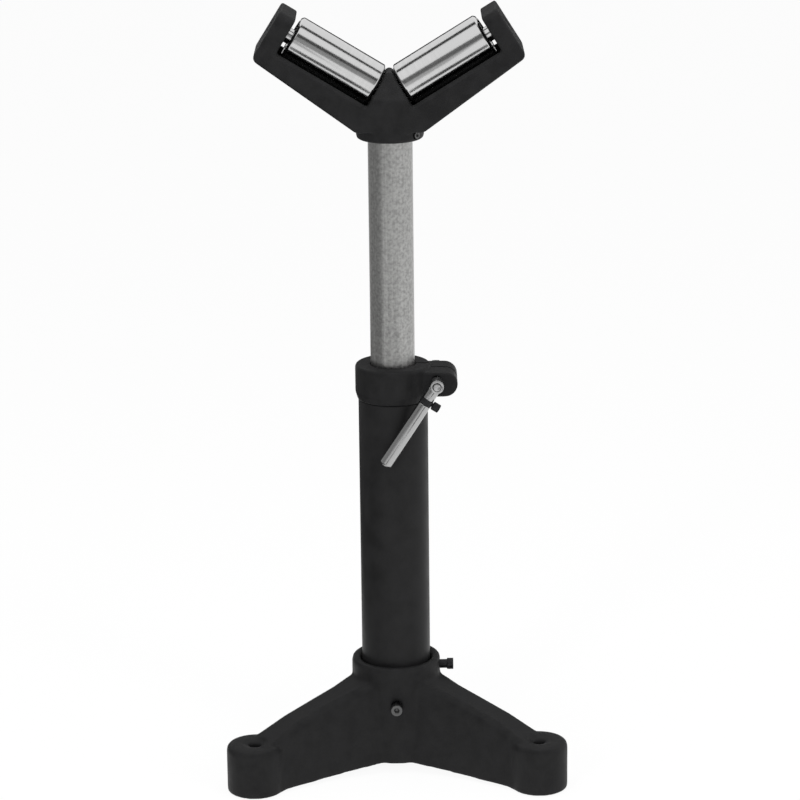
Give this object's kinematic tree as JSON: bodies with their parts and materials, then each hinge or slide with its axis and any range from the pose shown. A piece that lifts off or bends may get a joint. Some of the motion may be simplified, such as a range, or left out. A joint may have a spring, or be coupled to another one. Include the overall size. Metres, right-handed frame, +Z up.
{
  "type": "roller pipe stand",
  "caption": "Cast pipe support stand with spread legs, a clamped telescopic mast and a V head of steel rollers.",
  "frame": {"origin": "on the floor plane, under the column's axis", "axes": "+Z up along the column, -Y towards the viewer of the picture, +X to the side with the clamp lever"},
  "size_m": [0.3756, 0.3337, 0.8552],
  "materials": {
    "black_casting": "satin black paint over a sand casting",
    "black_tube": "satin black paint on smooth pipe",
    "zinc_pipe": "dull zinc with fine streaks",
    "bright_steel": "turned bright",
    "black_oxide": "oiled black",
    "bearing_steel": "ground",
    "guide_plastic": "matte"
  },
  "bodies": {
    "stand": {"base_casting": "black_casting", "hub_set_screw_right": "black_oxide", "hub_set_screw_front": "bright_steel", "column_tube": "black_tube", "collar_casting": "black_casting", "clamp_nut": "black_oxide"},
    "clamp_lever": {"clamp_screw": "bright_steel", "lever_hub": "bright_steel", "lever_ring": "black_oxide", "lever_rod": "bright_steel", "lever_cross_bolt": "black_oxide"},
    "carriage": {"mast_guide_bush": "guide_plastic"},
    "mast": {"mast_tube": "zinc_pipe", "head_casting": "black_casting", "head_set_screw": "bright_steel", "axle_left": "bright_steel", "axle_screw_left": "black_oxide", "axle_right": "bright_steel", "axle_screw_right": "black_oxide", "bearing_inner_left_low": "bearing_steel", "bearing_inner_left_high": "bearing_steel", "bearing_inner_right_low": "bearing_steel", "bearing_inner_right_high": "bearing_steel"},
    "roller_left_body": {"roller_left": "bright_steel", "bearing_outer_left_low": "bearing_steel", "bearing_outer_left_high": "bearing_steel"},
    "roller_right_body": {"roller_right": "bright_steel", "bearing_outer_right_low": "bearing_steel", "bearing_outer_right_high": "bearing_steel"}
  },
  "joints": [
    {"name": "mast_height", "type": "slide", "parent": "stand", "child": "carriage", "axis": [0, 0, 1], "range_m": [-0.245, 0.104]},
    {"name": "head_swivel", "type": "hinge", "parent": "carriage", "child": "mast", "pos_m": [0, 0, 0.28], "axis": [0, 0, 1], "continuous": true},
    {"name": "lever_turn", "type": "hinge", "parent": "stand", "child": "clamp_lever", "pos_m": [0.0475, -0.0485, 0.4495], "axis": [0, -1, 0], "range_deg": [0, 135]},
    {"name": "roller_left_spin", "type": "hinge", "parent": "mast", "child": "roller_left_body", "pos_m": [-0.05988, 0, 0.79519], "axis": [-0.8526, 0, 0.5225], "continuous": true},
    {"name": "roller_right_spin", "type": "hinge", "parent": "mast", "child": "roller_right_body", "pos_m": [0.05988, 0, 0.79519], "axis": [0.8526, 0, 0.5225], "continuous": true}
  ]
}
